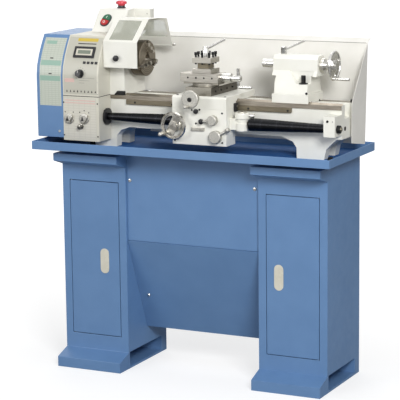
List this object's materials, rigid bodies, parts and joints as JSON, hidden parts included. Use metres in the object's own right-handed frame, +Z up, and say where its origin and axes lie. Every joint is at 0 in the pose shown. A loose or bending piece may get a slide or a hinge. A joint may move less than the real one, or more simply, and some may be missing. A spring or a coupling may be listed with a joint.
{
  "type": "bench metal lathe on cabinet stand",
  "caption": "Bench metalworking lathe with chuck, carriage, compound slide and tailstock in a chip tray on a two-pedestal cabinet stand.",
  "frame": {"origin": "on the floor, under the middle of the machine's bounding box", "axes": "+X from the headstock to the tailstock, +Y away from the operator, +Z up"},
  "size_m": [1.13, 0.429, 1.2895],
  "materials": {
    "painted_steel_blue": "fine hammered powder coat, mid blue",
    "painted_casting_white": "off-white machine enamel over cast iron",
    "painted_panel_ivory": "ivory enamel with a thin printed film",
    "ground_steel": "ground steel, oiled",
    "polished_steel": "bright turned and plated steel",
    "black_plastic": "black moulded plastic",
    "blued_spring_steel": "black oiled spring strip",
    "belt_rubber": "black rubber belt",
    "red_plastic": "red moulded plastic",
    "green_plastic": "green moulded plastic",
    "motor_grey_paint": "dark grey motor paint"
  },
  "bodies": {
    "frame": {"pedestal_left": "painted_steel_blue", "pedestal_right": "painted_steel_blue", "panel_upper": "painted_steel_blue", "panel_lower": "painted_steel_blue", "chip_tray": "painted_steel_blue", "bed": "painted_casting_white", "rack": "ground_steel", "leadscrew_bracket": "painted_casting_white", "headstock": "painted_casting_white", "control_housing": "painted_panel_ivory", "gearbox_housing": "painted_panel_ivory", "electrical_box": "painted_casting_white", "splash_guard": "painted_casting_white", "motor": "motor_grey_paint", "guard_hinge_rod": "polished_steel", "drive_belt": "belt_rubber", "cover_left": "blued_spring_steel", "cover_right": "blued_spring_steel"},
    "spindle": {"spindle": "ground_steel", "chuck_body": "ground_steel"},
    "carriage": {"saddle": "painted_casting_white", "apron": "painted_casting_white", "thread_dial": "painted_casting_white"},
    "tailstock": {"tailstock_base": "painted_casting_white", "tailstock_body": "painted_casting_white"},
    "door_left": {"door_left": "painted_steel_blue"},
    "door_right": {"door_right": "painted_steel_blue"},
    "end_cover": {"end_cover": "painted_steel_blue"},
    "chuck_jaw_1": {"chuck_jaw_1": "polished_steel"},
    "chuck_jaw_2": {"chuck_jaw_2": "polished_steel"},
    "chuck_jaw_3": {"chuck_jaw_3": "polished_steel"},
    "motor_pulley": {"motor_pulley": "ground_steel"},
    "chuck_guard": {"chuck_guard": "painted_casting_white"},
    "leadscrew": {"leadscrew": "ground_steel"},
    "carriage_handwheel": {"carriage_handwheel": "polished_steel"},
    "carriage_handle": {"carriage_handle": "polished_steel"},
    "half_nut_lever": {"half_nut_lever": "ground_steel"},
    "feed_lever": {"feed_lever": "ground_steel"},
    "cross_slide": {"cross_slide": "ground_steel"},
    "cross_handwheel": {"cross_handwheel": "ground_steel"},
    "swivel_base": {"swivel_base": "ground_steel"},
    "top_slide": {"top_slide": "ground_steel"},
    "top_slide_crank": {"top_slide_crank": "polished_steel"},
    "tool_post": {"tool_post": "ground_steel"},
    "tool_post_lever": {"tool_post_lever": "polished_steel"},
    "quill": {"quill": "polished_steel"},
    "tailstock_handwheel": {"tailstock_handwheel": "polished_steel"},
    "quill_lock_lever": {"quill_lock_lever": "polished_steel"},
    "tailstock_clamp_bolt": {"tailstock_clamp_bolt": "ground_steel"},
    "gear_dial_left": {"gear_dial_left": "ground_steel"},
    "gear_dial_right": {"gear_dial_right": "ground_steel"},
    "feed_direction_knob": {"feed_direction_knob": "ground_steel"},
    "speed_knob": {"speed_knob": "black_plastic"},
    "panel_key_1": {"panel_key_1": "black_plastic"},
    "panel_key_2": {"panel_key_2": "black_plastic"},
    "panel_key_3": {"panel_key_3": "black_plastic"},
    "panel_key_4": {"panel_key_4": "black_plastic"},
    "start_button": {"start_button": "green_plastic"},
    "stop_button": {"stop_button": "red_plastic"},
    "emergency_stop": {"emergency_stop": "red_plastic"}
  },
  "joints": [
    {"name": "door_left_swing", "type": "hinge", "parent": "frame", "child": "door_left", "pos_m": [-0.4675, -0.079, 0.1155], "axis": [0, 0, -1], "range_deg": [0, 110]},
    {"name": "door_right_swing", "type": "hinge", "parent": "frame", "child": "door_right", "pos_m": [0.4775, -0.079, 0.1155], "axis": [0, 0, 1], "range_deg": [0, 110]},
    {"name": "end_cover_swing", "type": "hinge", "parent": "frame", "child": "end_cover", "pos_m": [-0.4606, 0.158, 0.83], "axis": [0, 0, -1], "range_deg": [0, 100]},
    {"name": "spindle_spin", "type": "hinge", "parent": "frame", "child": "spindle", "pos_m": [-0.248, 0.0175, 1.103], "axis": [1, 0, 0], "continuous": true},
    {"name": "chuck_jaw_1_travel", "type": "slide", "parent": "spindle", "child": "chuck_jaw_1", "axis": [0, 0, 1], "range_m": [-0.005, 0.01]},
    {"name": "chuck_jaw_2_travel", "type": "slide", "parent": "spindle", "child": "chuck_jaw_2", "axis": [0, -0.866, -0.5], "range_m": [-0.005, 0.01]},
    {"name": "chuck_jaw_3_travel", "type": "slide", "parent": "spindle", "child": "chuck_jaw_3", "axis": [0, 0.866, -0.5], "range_m": [-0.005, 0.01]},
    {"name": "motor_spin", "type": "hinge", "parent": "frame", "child": "motor_pulley", "pos_m": [-0.525, 0.13, 0.93], "axis": [1, 0, 0], "continuous": true},
    {"name": "chuck_guard_swing", "type": "hinge", "parent": "frame", "child": "chuck_guard", "pos_m": [-0.316, 0.112, 1.143], "axis": [-1, 0, 0], "range_deg": [0, 42]},
    {"name": "leadscrew_spin", "type": "hinge", "parent": "frame", "child": "leadscrew", "pos_m": [-0.318, -0.088, 0.9065], "axis": [1, 0, 0], "continuous": true},
    {"name": "carriage_travel", "type": "slide", "parent": "frame", "child": "carriage", "axis": [1, 0, 0], "range_m": [-0.11, 0.055], "deforming": ["cover_left", "cover_right"]},
    {"name": "carriage_wheel_turn", "type": "hinge", "parent": "carriage", "child": "carriage_handwheel", "pos_m": [-0.021, -0.13, 0.898], "axis": [0, 1, 0], "range_deg": [-2205, 1105]},
    {"name": "carriage_handle_spin", "type": "hinge", "parent": "carriage_handwheel", "child": "carriage_handle", "pos_m": [-0.05164, -0.1618, 0.87229], "axis": [0, 1, 0], "continuous": true},
    {"name": "half_nut_engage", "type": "hinge", "parent": "carriage", "child": "half_nut_lever", "pos_m": [0.118, -0.13, 0.92], "axis": [0, -1, 0], "range_deg": [0, 35]},
    {"name": "feed_engage", "type": "hinge", "parent": "carriage", "child": "feed_lever", "pos_m": [0.128, -0.13, 0.864], "axis": [0, -1, 0], "range_deg": [-30, 40]},
    {"name": "cross_slide_travel", "type": "slide", "parent": "carriage", "child": "cross_slide", "axis": [0, 1, 0], "range_m": [-0.02, 0.045]},
    {"name": "cross_wheel_turn", "type": "hinge", "parent": "carriage", "child": "cross_handwheel", "pos_m": [0.055, -0.176, 0.9935], "axis": [0, 1, 0], "range_deg": [-3605, 8105]},
    {"name": "swivel_turn", "type": "hinge", "parent": "cross_slide", "child": "swivel_base", "pos_m": [0.055, -0.055, 1.0263], "axis": [0, 0, 1], "range_deg": [-45, 45]},
    {"name": "top_slide_travel", "type": "slide", "parent": "swivel_base", "child": "top_slide", "axis": [-1, 0, 0], "range_m": [-0.033, 0.03]},
    {"name": "top_crank_turn", "type": "hinge", "parent": "top_slide", "child": "top_slide_crank", "pos_m": [0.115, -0.055, 1.0555], "axis": [-1, 0, 0], "range_deg": [-7925, 7205]},
    {"name": "tool_post_index", "type": "hinge", "parent": "top_slide", "child": "tool_post", "pos_m": [0.055, -0.055, 1.0703], "axis": [0, 0, 1], "continuous": true},
    {"name": "tool_post_clamp", "type": "hinge", "parent": "top_slide", "child": "tool_post_lever", "pos_m": [0.055, -0.055, 1.1243], "axis": [0, 0, 1], "range_deg": [-30, 60]},
    {"name": "tailstock_travel", "type": "slide", "parent": "frame", "child": "tailstock", "axis": [1, 0, 0], "range_m": [-0.04, 0.06]},
    {"name": "quill_travel", "type": "slide", "parent": "tailstock", "child": "quill", "axis": [-1, 0, 0], "range_m": [0, 0.065]},
    {"name": "tail_wheel_turn", "type": "hinge", "parent": "tailstock", "child": "tailstock_handwheel", "pos_m": [0.495, 0.0175, 1.103], "axis": [-1, 0, 0], "range_deg": [0, 9365]},
    {"name": "quill_lock_turn", "type": "hinge", "parent": "tailstock", "child": "quill_lock_lever", "pos_m": [0.312, 0.0175, 1.1363], "axis": [0, 0, 1], "range_deg": [-40, 40]},
    {"name": "tailstock_clamp_turn", "type": "hinge", "parent": "tailstock", "child": "tailstock_clamp_bolt", "pos_m": [0.403, -0.029, 1.043], "axis": [0, 0, 1], "range_deg": [-90, 90]},
    {"name": "gear_left_turn", "type": "hinge", "parent": "frame", "child": "gear_dial_left", "pos_m": [-0.436, -0.138, 0.899], "axis": [0, 1, 0], "range_deg": [-60, 60]},
    {"name": "gear_right_turn", "type": "hinge", "parent": "frame", "child": "gear_dial_right", "pos_m": [-0.376, -0.138, 0.901], "axis": [0, 1, 0], "range_deg": [-60, 60]},
    {"name": "feed_direction_turn", "type": "hinge", "parent": "frame", "child": "feed_direction_knob", "pos_m": [-0.389, -0.138, 0.873], "axis": [0, 1, 0], "range_deg": [-45, 45]},
    {"name": "speed_turn", "type": "hinge", "parent": "frame", "child": "speed_knob", "pos_m": [-0.3895, -0.1365, 1.057], "axis": [0, 0.9894, -0.1455], "range_deg": [0, 270]},
    {"name": "key_1_press", "type": "slide", "parent": "frame", "child": "panel_key_1", "axis": [0, 0.9267, -0.3757], "range_m": [0, 0.0012], "stiffness_N_per_m": 400},
    {"name": "key_2_press", "type": "slide", "parent": "frame", "child": "panel_key_2", "axis": [0, 0.9267, -0.3757], "range_m": [0, 0.0012], "stiffness_N_per_m": 400},
    {"name": "key_3_press", "type": "slide", "parent": "frame", "child": "panel_key_3", "axis": [0, 0.9267, -0.3757], "range_m": [0, 0.0012], "stiffness_N_per_m": 400},
    {"name": "key_4_press", "type": "slide", "parent": "frame", "child": "panel_key_4", "axis": [0, 0.9267, -0.3757], "range_m": [0, 0.0012], "stiffness_N_per_m": 400},
    {"name": "start_press", "type": "slide", "parent": "frame", "child": "start_button", "axis": [0, 0.7678, -0.6407], "range_m": [0, 0.003], "stiffness_N_per_m": 500},
    {"name": "stop_press", "type": "slide", "parent": "frame", "child": "stop_button", "axis": [0, 0.7678, -0.6407], "range_m": [0, 0.003], "stiffness_N_per_m": 500},
    {"name": "emergency_press", "type": "slide", "parent": "frame", "child": "emergency_stop", "axis": [0, 0, -1], "range_m": [0, 0.004]}
  ],
  "couplings": [
    {"joint": "chuck_jaw_2_travel", "follows": "chuck_jaw_1_travel", "ratio": 1},
    {"joint": "chuck_jaw_3_travel", "follows": "chuck_jaw_1_travel", "ratio": 1},
    {"joint": "motor_spin", "follows": "spindle_spin", "ratio": 2.5333},
    {"joint": "carriage_wheel_turn", "follows": "carriage_travel", "rad_per_m": 349.07},
    {"joint": "cross_wheel_turn", "follows": "cross_slide_travel", "rad_per_m": 3141.6},
    {"joint": "top_crank_turn", "follows": "top_slide_travel", "rad_per_m": 4188.8},
    {"joint": "tail_wheel_turn", "follows": "quill_travel", "rad_per_m": 2513.3}
  ]
}
